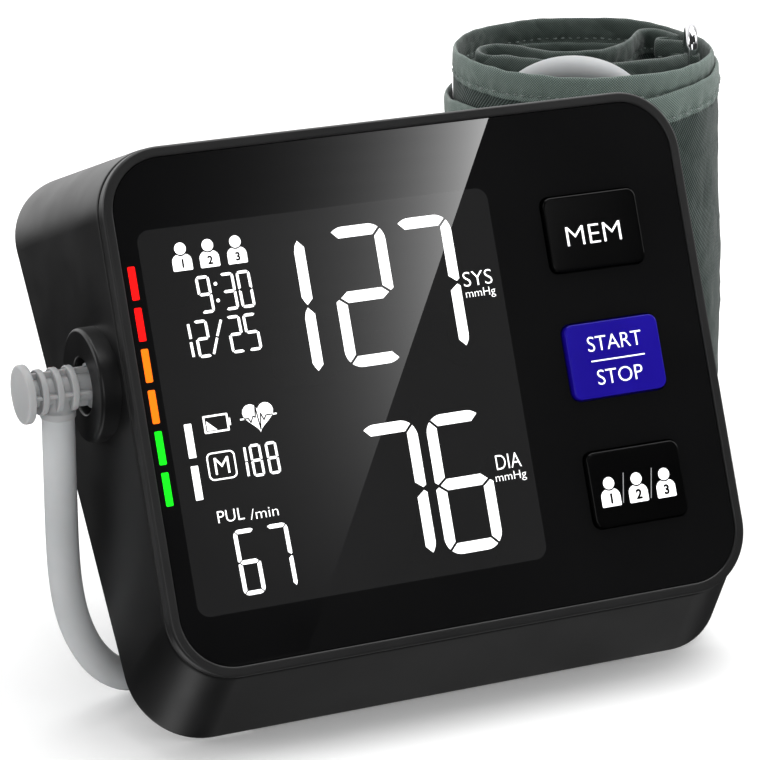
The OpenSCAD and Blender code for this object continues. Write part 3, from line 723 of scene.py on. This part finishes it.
def display():
    art = Flat()
    big = dict(w=14.6, h=32.5, tv=2.6, th=2.6, gap=0.62, corner=4.2)
    small = dict(w=3.35, h=8.55, tv=0.62, th=0.66, gap=0.2, lean=0.03, corner=1.0)
    tiny = dict(w=2.75, h=7.4, tv=0.55, th=0.62, gap=0.18, lean=0.03, corner=0.85)
    pulse = dict(w=5.4, h=14.9, tv=0.95, th=0.98, gap=0.28, lean=0.02, corner=1.5)
    for size, places in (
            (big, (("2", -21.0, 4.3), ("7", -4.2, 4.3), ("7", -21.1, -41.6), ("6", -4.2, -41.6))),
            (small, (("9", -53.95, 21.35), ("3", -48.1, 21.35), ("0", -44.1, 21.35), ("2", -56.2, 11.55),
                     ("2", -48.2, 11.55), ("5", -44.2, 11.55))),
            (tiny, (("8", -47.85, -16.65), ("8", -43.95, -16.65))),
            (pulse, (("6", -54.9, -42.6), ("7", -47.1, -42.6)))):
        for ch, x, y in places:
            digit(art, ch, x, y, **size)
    # the leading 1 is two plain bars of its own
    for a, b in ((20.1, 34.9), (4.9, 19.5)):
        art.poly([(-29.25, a + 1.9), (-28.75, a + 0.9), (-28.1, a), (-26.7, a + 1.3), (-26.7, b - 1.6),
                  (-28.2, b), (-28.9, b - 1.0), (-29.25, b - 2.4)])
    for y in (27.7, 23.9):
        art.disc(-49.4, y, 0.42)
    for a, b in ((11.9, 15.6), (16.0, 19.7)):
        art.line([(-57.35, a + 0.3), (-57.45, b - 0.3)], 0.6)
    for ends in (((-52.45, 12.2), (-51.15, 15.5)), ((-50.95, 16.1), (-49.55, 19.4)),
                 ((-49.0, -16.1), (-49.0, -13.2)), ((-49.0, -12.7), (-49.0, -9.8))):
        art.line(ends, 0.55)
    for x in (-56.4, -49.8, -43.1):
        person(art, x, 36.6, 1.38, 4.7, 3.72)
    for y in (-6.45, -15.95):
        art.box(-62.35, y - 3.85, -60.6, y + 3.85, 0.12)
    # battery outline with its cap and a part-filled cell
    art.line([(-57.5, -5.2), (-51.9, -5.2), (-51.9, -1.6), (-57.5, -1.6), (-57.5, -5.2)], 0.42)
    art.box(-51.85, -4.2, -51.2, -2.6)
    art.poly([(-57.0, -4.8), (-54.6, -4.8), (-57.0, -2.6)])
    # heart
    pts = []
    for k in range(40):
        a = 2 * pi * k / 40
        tall = 13 * cos(a) - 5 * cos(2 * a) - 2 * cos(3 * a) - cos(4 * a)
        pts.append((-44.4 + 3.75 * sin(a) ** 3, -3.0 + tall * 0.228))
    art.poly(pts)
    art.line([(-48.8, -3.4), (-47.9, -3.4)], 0.35)
    art.line([(-40.9, -3.2), (-40.0, -3.2)], 0.35)
    # M in its frame
    frame_line = [(x - 54.95, y - 12.9) for x, y in rounded(6.5, 6.0, 1.1, 5)]
    art.line(frame_line + frame_line[:1], 0.34)
    for words, x0, y0, x1, y1, bold in (
            ("M", -56.7, -14.8, -53.2, -11.0, -0.006), ("PUL", -58.0, -25.6, -51.6, -22.9, -0.008),
            ("/min", -50.2, -26.0, -43.4, -23.6, -0.01), ("SYS", 11.3, 19.2, 18.7, 22.6, -0.01),
            ("mmHg", 11.4, 16.0, 19.0, 18.5, -0.01), ("DIA", 11.8, -23.9, 18.2, -20.5, -0.01),
            ("mmHg", 11.1, -27.2, 19.0, -24.7, -0.01)):
        art.text(words, x0, y0, x1, y1, bold=bold)
    art.build("display_digits", digit_mat, "root", "digits", -GLASS_SINK + 0.015)
    # what is dark on the lit shapes
    dark = Flat()
    for x, ch in ((-56.4, "1"), (-49.8, "2"), (-43.1, "3")):
        dark.text(ch, x + 0.1, 32.2, x + 0.1, 34.2, bold=0.035)
    dark.line([(-47.9, -3.4), (-46.9, -3.4), (-46.4, -4.4), (-45.7, -3.0), (-45.2, -3.4), (-44.9, -0.8),
               (-44.3, -6.2), (-43.8, -2.6), (-43.2, -4.2), (-42.6, -3.2), (-41.0, -3.2)], 0.28)
    dark.build("display_dark", key_black_mat, "root", "display", -GLASS_SINK + 0.085)


display()


def key_prints():
    top = -GLASS_SINK + KEY_PROUD + 0.012
    art = Flat()
    art.text("MEM", 38.9, 25.2, 53.3, 29.7, bold=-0.012)
    art.build("print_memory", print_painted_glow_mat, "mem_key", "key_print", top)
    art = Flat()
    art.text("START", 39.6, -0.1, 53.9, 3.4, bold=-0.008)
    art.text("STOP", 40.8, -8.1, 52.8, -4.6, bold=-0.008)
    art.box(39.9, -2.55, 54.1, -2.25)
    art.build("print_start", print_painted_glow_mat, "start_key", "key_print", top)
    art, dark = Flat(), Flat()
    for x, ch in ((39.0, "1"), (46.3, "2"), (53.7, "3")):
        person(art, x, -31.15, 1.45, 5.0, 4.15)
        dark.text(ch, x + 0.1, -36.0, x + 0.1, -33.6, lift=0.06, bold=0.04)
    art.build("print_user", print_painted_glow_mat, "user_key", "key_print", top)
    dark.build("print_user_numbers", key_black_mat, "user_key", "key_black", top)
    thin = Flat()
    for ends in (((43.2, -29.3), (42.0, -36.2)), ((50.7, -29.3), (49.4, -36.2))):
        thin.line(ends, 0.2)
    thin.build("print_user_lines", dim_print_painted_glow_mat, "user_key", "key_print", top)


key_prints()


# --- air socket and plug
def socket():
    prof = [(13.2, 70.0), (13.2, 77.5), (13.14, 77.85), (12.95, 78.15), (12.65, 78.33), (12.3, 78.4),
            (7.0, 78.4), (6.75, 78.33), (6.58, 78.12), (6.5, 77.7), (6.5, 75.0), (4.6, 74.9), (4.6, 62)]
    shape = strips(lathe(prof, 72))
    obj = weighted(finish_mesh("socket_ring", shape, TO_SOCKET, casing_mat, "root", "casing", sharp=60))
    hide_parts("air_socket")


socket()


def plug():
    x0, pitch = 92.3, 3.6
    prof = [(r, x0 + d) for r, d in ((0.0, 0.98), (6.1, 0.98), (6.5, 0.9), (6.72, 0.7), (6.8, 0.4),
                                     (6.8, -0.55), (6.72, -0.8), (6.5, -0.95), (6.1, -1.0), (3.3, -1.0))]
    rib = [(3.3, 0.95), (3.4, 0.8), (4.9, 0.8), (5.12, 0.72), (5.25, 0.5)]
    for i in (1, 2, 3):
        m = x0 - i * pitch - 0.1
        prof += [(r, m + d) for r, d in rib] + [(r, m - d) for r, d in reversed(rib)]
    prof += [(3.3, 78.0), (3.4, 77.1), (4.9, 77.05), (5.12, 76.95), (5.25, 76.7), (5.25, 75.8), (5.1, 75.5),
             (4.8, 75.4), (4.4, 75.3), (4.4, 68.0)]
    shape = strips(lathe(prof, 56), cap_last=True)
    body = weighted(finish_mesh("plug_body", shape, TO_SOCKET, plug_mat, "cuff_set", "plug", sharp=60))
    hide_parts("air_plug")
    # flat webs that cross the gaps between the ribs
    shape = joined(strips([[(a, b, z), (-a, b, z), (-a, -b, z), (a, -b, z)] for z in (77, x0 - 1)],
                          True, True) for a, b in ((4.7, 0.4), (0.4, 4.7)))
    webs = finish_mesh("plug_webs", shape, TO_SOCKET, plug_mat, "cuff_set", "plug", sharp=30)
    bev = webs.modifiers.new("soft_edges", "BEVEL")
    bev.width, bev.segments = 0.18 * MM, 2
    # neck that runs down from the plug's body into the hose
    rings = [[(*p, z) for p in ellipse(PLUG_X, SOCKET_AT[1], rx, ry, 40)] for rx, ry, z in (
        (3.9, 3.9, 72.2), (4.0, 4.0, 72.3), (4.1, 4.1, 72.5), (4.1, 4.1, 73.6), (4.0, 4.0, 73.9),
        (3.6, 3.5, 74.1), (3.3, 3.2, 75.2), (3.2, 3.2, 76.4), (3.4, 3.6, 77.8), (3.6, 4.0, 79.0))]
    neck = weighted(finish_mesh("plug_neck", strips(rings, True, True), WORLD, plug_mat, "cuff_set", "plug",
                                sharp=60))
    return [body, webs, neck]


plug_parts = plug()


# --- cuff
SLOPE = 9 / 74                  # rise of the outer turn's rim across the roll
DBAR_AT = (29.0, -4.8)
TAIL = [(27.2, 12.6), (25, 16.6), (22.4, 20), (19.7, 21.8), (17.3, 20.6), (15.6, 17.4), (12.2, 6.6),
        (6.6, -2.6), (1, -5.4), (-5, -5.6), (-10, -3.4), (-15.8, 0.4), (-20.4, 2.2), (-24.7, 1.6),
        (-27.8, -1.2), (-28.2, -5.6), (-25.4, -9.2), (-20.4, -10.4), (-14, -13.6), (-5, -18.2), (5, -19),
        (13.3, -16.6), (20.6, -12.6), (24.6, -10), (27.7, -8.1)]


def arc_line(r0, r1, a0, a1, middle=(0, 0)):
    n = max(4, int(abs(a1 - a0) / 2.5))
    out = []
    for i in range(n + 1):
        r, a = r0 + (r1 - r0) * i / n, radians(a0 + (a1 - a0) * i / n)
        out.append(Vector((middle[0] + r * cos(a), middle[1] + r * sin(a))))
    return out


def wall(line, low, top, thick, hem, wave, seed, slope=0.0, crease=0.5, step=0.9, flare=0.0):
    """What one wall of the cuff is: its line on the floor, its two edges, and how slack its cloth lies."""
    line = even(line, step)
    long = sum((b - a).length for a, b in zip(line, line[1:]))
    return dict(line=line, low=low, top=top, thick=thick, hem=hem, wave=wave, seed=seed, slope=slope,
                crease=crease, flare=flare, long=long, step=long / (len(line) - 1))


INNER_LINE = (arc_line(33.3, 34.4, 27, 44)[:-1] + arc_line(34.4, 34.4, 44, 350)[:-1]
              + arc_line(34.4, 33.9, 350, 386))
FOLD_LINE = catmull([(28.6, 11.0), (28.6, 8.6), (27.0, 9.2), (24.4, 10.2), (21.9, 10.6), (21.0, 11.8),
                     (22.0, 13.2), (24.4, 13.4)])
LOOP_LINE = catmull([(23.4, -4.2), (25.2, -4.6)])[:-1] + arc_line(2.0, 2.0, 190, -112, DBAR_AT)
# name = wall(line, low, top, thick, hem, wave, seed)
WALLS = dict(
    outer=wall(arc_line(36.3, 36.3, 165, 450), 0.2, 103.5, 1.1, 6.4, 0.5, 3.0, SLOPE, crease=0.7, flare=2.4),
    inner=wall(INNER_LINE, 12.7, 116.0, 1.05, 6.0, 0.42, 11.0, crease=0.9),
    lining=wall(arc_line(32.2, 32.2, 40, 384), 13.2, 109.4, 0.72, 3.4, 0.25, 17.0, crease=0.8),
    tail=wall(catmull(TAIL), 21.2, 116.0, 1.25, 5.6, 0.42, 23.0, crease=1.2, step=0.8),
    bar_fold=wall(FOLD_LINE, 60.0, 115.4, 0.9, 5.0, 0.2, 31.0, step=0.6),
    bar_loop=wall(LOOP_LINE, 21.2, 115.2, 0.42, 3.0, 0.03, 37.0, crease=0.0, step=0.6),
)
# distances and half the cloth's thickness as a share: from the edge, a rolled rim and the doubled cloth,
# and from the hem's line, the valley that the stitches pull and the step where the doubled cloth ends
HEM_SECTION = [(0, 0.10), (0.3, 0.38), (0.9, 0.60), (2.0, 0.68)]
HEM_END = [(-1.8, 0.68), (-0.6, 0.52), (0.0, 0.26), (0.5, 0.52), (1.1, 0.60), (1.45, 0.44), (2.4, 0.45)]


def hem_half(w, edge):
    stops = HEM_SECTION + [(w["hem"] + d, h) for d, h in HEM_END]
    for (a, ha), (b, hb) in zip(stops, stops[1:]):
        if a <= edge <= b:
            return ha + (hb - ha) * (edge - a) / max(1e-6, b - a)
    return stops[-1][1]


def slack(w, s, z):
    """How far the cloth's middle stands off its line at a place: slow waves, fine waves, puckers at the
    stitching and thin wandering creases."""
    seed, wave, hem = w["seed"], w["wave"], w["hem"]
    edge = min(z - w["low"], w["top"] - z)
    push = noise.noise(Vector((s * 0.045, z * 0.03, seed))) * wave * 1.3
    push += noise.noise(Vector((s * 0.15, z * 0.08, seed + 7))) * wave * 0.5
    phase = s * 2 * pi / 4.6 + 3 * noise.noise(Vector((s * 0.1, 0, seed)))
    push += 0.30 * min(1, wave * 3) * sin(phase) * exp(-((edge - hem) / 1.7) ** 2)
    if w["crease"] and edge > 0.5:
        c = noise.noise(Vector((s * 0.050 + z * 0.02, z * 0.085 - s * 0.02, seed + 31)))
        mask = max(0.0, noise.noise(Vector((s * 0.03, z * 0.04, seed + 53))) + 0.15) * min(1, edge / 4)
        push -= w["crease"] * mask * exp(-(c / 0.07) ** 2)
    return push


def on_wall(w, s, z, side, proud=0.0):
    """A point of the wall: side is 1 for the skin on the left of its line and -1 for the one on the right."""
    line, t = w["line"], min(max(s / w["step"], 0), len(w["line"]) - 1.001)
    i = int(t)
    p = line[i].lerp(line[i + 1], t - i)
    a, b = line[max(i - 1, 0)], line[min(i + 2, len(line) - 1)]
    d = (b - a).normalized()
    edge = min(z - w["low"], w["top"] - z)
    end = min(1.0, s / 2.5 + 0.25, (w["long"] - s) / 2.5 + 0.25)
    off = side * (hem_half(w, edge) * w["thick"] * end + proud) + slack(w, s, z) * end
    x, y = p.x - d.y * off, p.y + d.x * off
    fall = min(1.0, max(0.0, (w["top"] - z) / 75))          # a loose turn stands off more towards its foot
    x += w["flare"] * fall * fall * (3 - 2 * fall) * max(0.0, p.x) / 36
    rim = (0.5 * noise.noise(Vector((s * 0.06, 3, w["seed"])))
           + 0.25 * noise.noise(Vector((s * 0.2, 9, w["seed"]))))
    rim *= max(0.0, 1 - (w["top"] - z) / (2 * w["hem"]))
    return Vector((x, y, max(0.15, z + w["slope"] * (p.x + 36) + rim)))


def wall_rows(w):
    """Heights of the rows: close together at the hems and over the part that shows, further apart below."""
    low, top, hem = w["low"], w["top"], w["hem"]
    marks = [d for d, _ in HEM_SECTION] + [hem + d for d, _ in HEM_END]
    if hem - 1.8 - 2.0 > 1.5:
        marks.append((hem + 0.2) / 2)
    marks = sorted(marks)
    bottom, upper = low + marks[-1], top - marks[-1]
    fine_from = upper - 34
    n, m = round((fine_from - bottom) / 4), round((upper - fine_from) / 1.25)
    zs = [low + d for d in marks] + [bottom + (fine_from - bottom) * k / n for k in range(1, n + 1)]
    zs += [fine_from + (upper - fine_from) * k / m for k in range(1, m)]
    return zs + [top - d for d in reversed(marks)]


def cuff_wall(name, key, mats, slot, nodes):
    """A strip of the cuff stood on its edge, as one closed mesh with two skins."""
    w = WALLS[key]
    zs, m = wall_rows(w), len(w["line"])
    loop = [(z, 1) for z in zs] + [(z, -1) for z in reversed(zs)]
    verts, flat = [], []
    for z, side in loop:
        for i in range(m):
            s = w["step"] * i
            verts.append(tuple(on_wall(w, s, z, side)))
            flat += [s, z, float(side)]
    face_mats = []
    for (z, a), (z1, b) in zip(loop, loop[1:] + loop[:1]):
        edge = max(min(q - w["low"], w["top"] - q) for q in (z, z1))
        # hem faces on the skin left of the line, which faces into the roll for the round walls, take the
        # third material: the darker hem copy, painted shade
        face_mats += [(2 if a == b == 1 else 1) if edge <= w["hem"] + 1.5 else 0] * (m - 1)
    face_mats += [1] * 2 * (len(zs) - 1)
    shape = verts, pillow_faces(len(zs), m)
    obj = finish_mesh(name, shape, TO_ROLL, mats, "cuff_set", slot, sharp=75, face_mats=face_mats)
    obj.data.attributes.new("flat", "FLOAT_VECTOR", "POINT").data.foreach_set("vector", flat)
    if nodes:
        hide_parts(*nodes)
    return obj


def stitches(name, key, side, seed):
    """A row of small stitches along a wall's upper hem, lying in the cloth and a little proud of it."""
    w, rnd = WALLS[key], random.Random(seed)
    made = []
    pitch, length, n, s = 2.3, 1.05, 6, 1.5
    while s < w["long"] - 3:
        z = w["top"] - w["hem"] + 0.3 * sin(s * 0.07 + seed) + rnd.uniform(-0.08, 0.08)
        tilt, rr = rnd.uniform(-0.15, 0.15), rnd.uniform(0.14, 0.24)
        pts = [on_wall(w, s + length * k / 4, z + tilt * (k - 2) / 2, side, proud)
               for k, proud in enumerate((-0.2, 0.15, 0.24, 0.15, -0.2))]
        rings = []
        for k, c in enumerate(pts):
            d = (pts[min(k + 1, 4)] - pts[max(k - 1, 0)]).normalized()
            sd = d.cross(Vector((0, 0, 1))).normalized()
            up = sd.cross(d)
            r = rr * (0.6, 1, 1.05, 1, 0.6)[k]
            rings.append([tuple(c + (sd * cos(2 * pi * a / n) + up * sin(2 * pi * a / n)) * r)
                          for a in range(n)])
        made.append(strips(rings, True, True))
        s += pitch * rnd.uniform(0.92, 1.08)
    return finish_mesh(name, joined(made), TO_ROLL, thread_mat, "cuff_set", "thread", sharp=80)


# the third material of each set is the darker hem copy, painted shade for hems on the skin facing into the
# roll
CLOTH, LINING = [twill_mat, hem_mat, hem_painted_shade_mat], [lining_mat, hem_painted_shade_mat, hem_painted_shade_mat]
INSIDE = [twill_mat, hem_painted_shade_mat, hem_painted_shade_mat]
# name, wall, materials, slot, CAD nodes replaced, what it rests on, rows of stitches with their skin
CUFF = (
    ("cuff_outer_turn", "outer", CLOTH, "nylon", ["cuff_outer_wrap"], "cuff_inner_turn",
     [("stitch_outer", -1)]),
    ("cuff_inner_turn", "inner", CLOTH, "nylon", ["cuff_inner_wrap"], "cuff_outer_turn",
     [("stitch_inner_front", -1), ("stitch_inner_inside", 1)]),
    ("cuff_inner_lining", "lining", LINING, "lining", ["cuff_lining"], "cuff_inner_turn",
     [("stitch_lining", 1)]),
    ("cuff_tail_cloth", "tail", INSIDE, "nylon", ["cuff_tail"], "cuff_inner_lining",
     [("stitch_tail_a", 1), ("stitch_tail_b", -1)]),
    ("cuff_bar_fold", "bar_fold", INSIDE, "nylon", [], "cuff_tail_cloth", [("stitch_bar_fold", 1)]),
    ("cuff_bar_loop", "bar_loop", INSIDE, "nylon", ["dbar_sleeve"], "dbar_ring", []))
cloths = [cuff_wall(*row[:5]) for row in CUFF]
for cloth, (_, key, _, _, _, resting, rows) in zip(cloths, CUFF):
    sewn = [stitches(name, key, side, 5 + len(name)) for name, side in rows]


def bladder():
    """The air bladder between cloth and lining: a thin pillow with welded edges, bent round the roll."""
    r, step = 33.25, 2.5
    line = even(arc_line(r, r, 100, 330), step)
    low, top, m = 24.5, 104.0, len(line)
    zs = [low, low + 1, low + 3, low + 6] + [low + 6 + (top - low - 12) * k / 14 for k in range(1, 15)]
    zs += [top - 3, top - 1, top]
    loop = [(z, 1) for z in zs] + [(z, -1) for z in reversed(zs)]
    verts = []
    for z, side in loop:
        for i, p in enumerate(line):
            edge = min(z - low, top - z, i * step, (m - 1 - i) * step)
            half = 0.10 + 0.28 * min(1.0, edge / 6) ** 0.5
            verts.append((*(p * ((r - side * half) / r)), z))
    shape = verts, pillow_faces(len(zs), m)
    obj = finish_mesh("cuff_air_bladder", shape, TO_ROLL, rubber_mat, "cuff_set", "bladder", sharp=75)
    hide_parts("cuff_bladder")


bladder()


def hook_patch():
    """The hook strip that holds the turns: a thin backing with rows of small hooks."""
    line = even(arc_line(35.2, 35.2, 170, 232), 1.4)
    low, top, r, blocks = 20.5, 94.0, 35.2, []
    parts = [(35.05, r, low, top, 1.0)]
    parts += [(35.18, 35.38, low + 1.5 + 2.0 * k, low + 2.2 + 2.0 * k, 0.45) for k in range(36)]
    for a, b in zip(line, line[1:]):
        for r0, r1, z0, z1, share in parts:
            c = a.lerp(b, share)
            ring = [a * (r0 / r), c * (r0 / r), c * (r1 / r), a * (r1 / r)]
            blocks.append(strips([[(p.x, p.y, z) for p in ring] for z in (z0, z1)], True, True))
    obj = finish_mesh("cuff_hook_patch", joined(blocks), TO_ROLL, hook_mat, "cuff_set", "hook", sharp=30)
    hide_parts("hook_pad")


hook_patch()


def dbar():
    line = []
    r, low, top = 4.5, 19.0, 116.2
    cx, cy = DBAR_AT[0], DBAR_AT[1] + r
    for way, z0, z1 in ((1, top, low), (-1, low, top)):
        turns = [pi * k / 24 for k in range(25)]
        line += [Vector((cx, cy + way * r * cos(a), z0 + way * r * sin(a))) for a in turns]
        line += [Vector((cx, cy - way * r, z0 + (z1 - z0) * k / 30)) for k in range(1, 30)]
    n, m, thick, side = 20, len(line), 1.6, Vector((1, 0, 0))
    verts = []
    for i, p in enumerate(line):
        up = (line[(i + 1) % m] - line[i - 1]).normalized().cross(side).normalized()
        verts += [p + (side * cos(2 * pi * k / n) + up * sin(2 * pi * k / n)) * thick for k in range(n)]
    faces = [(i * n + k, i * n + (k + 1) % n, (i + 1) % m * n + (k + 1) % n, (i + 1) % m * n + k)
             for i in range(m) for k in range(n)]
    obj = finish_mesh("dbar_ring", (verts, faces), TO_ROLL, chrome_mat, "dbar_ring", "chrome", sharp=60)
    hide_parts("dbar")


dbar()

# --- CAD nodes that show as they are
SHOWN = (
    (casing_mat, "base_cover battery_box battery_door stand_leg"),
    (glass_mat, "glass_panel"),
    (plug_mat, "hose_port"),
    (led_material(), "led_bars"),
    (plastic("circuit_board", (0.02, 0.12, 0.05), 0.35), "main_pcb"),
    (rubber_mat, "lcd_module keypad_mat buzzer air_pump_head socket_seal stand_foot plug_ring"),
    (steel_mat, "tact_switches air_pump_motor release_valve battery_contacts door_pins base_screws"),
    (steel_mat, "stand_pin"),
    (plastic("sensor_plastic", (0.6, 0.6, 0.57)), "pressure_sensor"),
    (plastic("soft_tube", (0.6, 0.6, 0.57), 0.45), "inner_tube"),
    (plastic("cell_sleeve", (0.03, 0.07, 0.30), 0.3), "battery_cells"))
for mat, nodes in SHOWN:
    for node in nodes.split():
        slots = frame["nodes"][node].data.materials
        slots.clear()
        slots.append(mat)


# --- floor and light
def floor():
    n = Nodes("floor_paint")
    c = n.ramp(n.noise(6, 3), [(0.3, (0.90, 0.90, 0.90)), (0.7, (0.93, 0.93, 0.93))])
    # a light table: a faint glow under the object that grows to white far away
    away = n.add("ShaderNodeVectorMath", operation="LENGTH")
    n.link(n.place, away.inputs[0])
    n.link(n.range(away.outputs["Value"], 0.13, 0.5, 0.5, 1.6), n.shader.inputs["Emission Strength"])
    n.set(emit_color=(1, 1, 1, 1))
    mat = n.out(c, n.range(n.noise(9, 2), 0.75, 0.85), None, spec=0.1)
    s = 6
    obj = mesh_object("floor", [(-s, -s, 0), (s, -s, 0), (s, s, 0), (-s, s, 0)], [(0, 1, 2, 3)])
    obj.data.materials.append(mat)
    obj.visible_glossy = False


floor()


def area(name, at, aim, size, power):
    data = bpy.data.lights.new(name, "AREA")
    data.energy, data.size = power, size
    obj = new_object(name, data)
    obj.location = at
    obj.rotation_euler = (Vector(aim) - Vector(at)).to_track_quat("-Z", "Y").to_euler()


area("overhead", (0.45, 0.25, 1.5), (0, 0.08, 0.05), 1.6, 20)
area("left_key", (-1.3, 0.35, 0.75), (0, 0.06, 0.07), 0.7, 3.5)
area("front_fill", (-0.6, -1.5, 0.35), (0, 0, 0.08), 0.9, 4)
area("right_fill", (1.4, -0.2, 0.7), (0.1, 0.1, 0.07), 0.8, 5)


def world():
    w = bpy.data.worlds.new("studio")
    scene.world = w
    w.use_nodes = True
    n = Tree(w.node_tree)
    background = n.tree.nodes["Background"].inputs
    background["Color"].default_value = (1, 1, 1, 1)
    ray = n.add("ShaderNodeLightPath").outputs
    x, y, z = n.split(n.add("ShaderNodeTexCoord").outputs["Generated"])
    # below the floor's level, where only reflections reach, it is dark but for the steepest downward rays,
    # and brighter towards the right, which is why the chin pales from left to right
    low = n.mul(n.range(z, 0.34, 0.03, -0.95, -0.70), n.range(x, 0.1, 2.1, 0.2, 0.62))
    # above it is paler behind the object than in front of it
    high = n.range(y, 0.04, 1.3, -0.1, 0.9)
    both = n.add("ShaderNodeMix")
    for i, v in ((0, n.range(z, 0, 1, -0.2, -0.06)), (2, low), (3, high)):
        n.link(v, both.inputs[i])
    # a pale streak low on the left for rounded corners
    dark, white = (0, 0, 0), (1, 1, 1)
    streak = n.ramp(n.math("MULTIPLY_ADD", x, 0.5, 0.5), [(0.20, dark), (0.315, white), (0.44, dark)], "EASE")
    glow = n.math("MULTIPLY_ADD", streak, n.range(z, 1.6, 0.0, -0.75, -0.55), both.outputs[0])
    # soft light from all round for whatever scatters it, and white to the camera
    most = n.math("MAXIMUM", glow, n.mul(ray["Is Diffuse Ray"], 0.62))
    n.link(n.math("MAXIMUM", most, ray["Is Camera Ray"]), background["Strength"])


world()


def light_card():
    """The softbox whose mirror image is the bright wedge on the glass. Its edge is where that wedge ends."""
    inv = TO_FACE.inverted()
    eye = inv @ (Vector(cam.location) / MM)
    mirror = Vector((eye.x, eye.y, -eye.z))       # the camera's mirror image behind the glass
    far = 700.0                                   # the card's distance from the glass

    def seen(x, y):
        """The place on the card that is mirrored at a point of the glass."""
        d = Vector((x, y, -GLASS_SINK)) - mirror
        return TO_FACE @ (mirror + d * ((far - mirror.z) / d.z))

    rows, left, foot, head = 24, -80.0, (-42.0, -57.0), (25.9, 60.0)
    verts, coords = [], []
    for k in range(rows + 1):
        up = k / rows
        x, y = (a + (b - a) * up for a, b in zip(foot, head))
        verts += [seen(x, y) * MM, seen(left, y) * MM]
        coords += [(1.0, up), (0.0, up)]
    faces = [(2 * k, 2 * k + 2, 2 * k + 3, 2 * k + 1) for k in range(rows)]
    obj = mesh_object("light_card", verts, faces)
    uv = obj.data.uv_layers.new(name="card")
    for loop, q in zip(obj.data.loops, uv.data):
        q.uv = coords[loop.vertex_index]
    m = bpy.data.materials.new("light_card")
    m.use_nodes = True
    m.node_tree.nodes.clear()
    n = Tree(m.node_tree)
    emit = n.add("ShaderNodeEmission")
    x, y, _ = n.split(n.add("ShaderNodeUVMap", uv_map="card").outputs[0])
    # bright at its right edge, fading to the left, and narrower and dimmer low down
    fade = n.mul(n.sub(x, 1), 7.4)
    across = n.math("POWER", 2.718, n.mul(fade, n.math("MULTIPLY_ADD", y, 0.64, 0.36)))
    power = n.mul(n.mul(across, n.math("POWER", y, 2.4)), 10.9)
    n.link(power, emit.inputs["Strength"])
    n.link(emit.outputs[0], n.add("ShaderNodeOutputMaterial").inputs[0])
    obj.data.materials.append(m)
    obj.visible_camera = False
    obj.visible_diffuse = False
    obj.visible_shadow = False


light_card()
scene.view_settings.view_transform = "Standard"
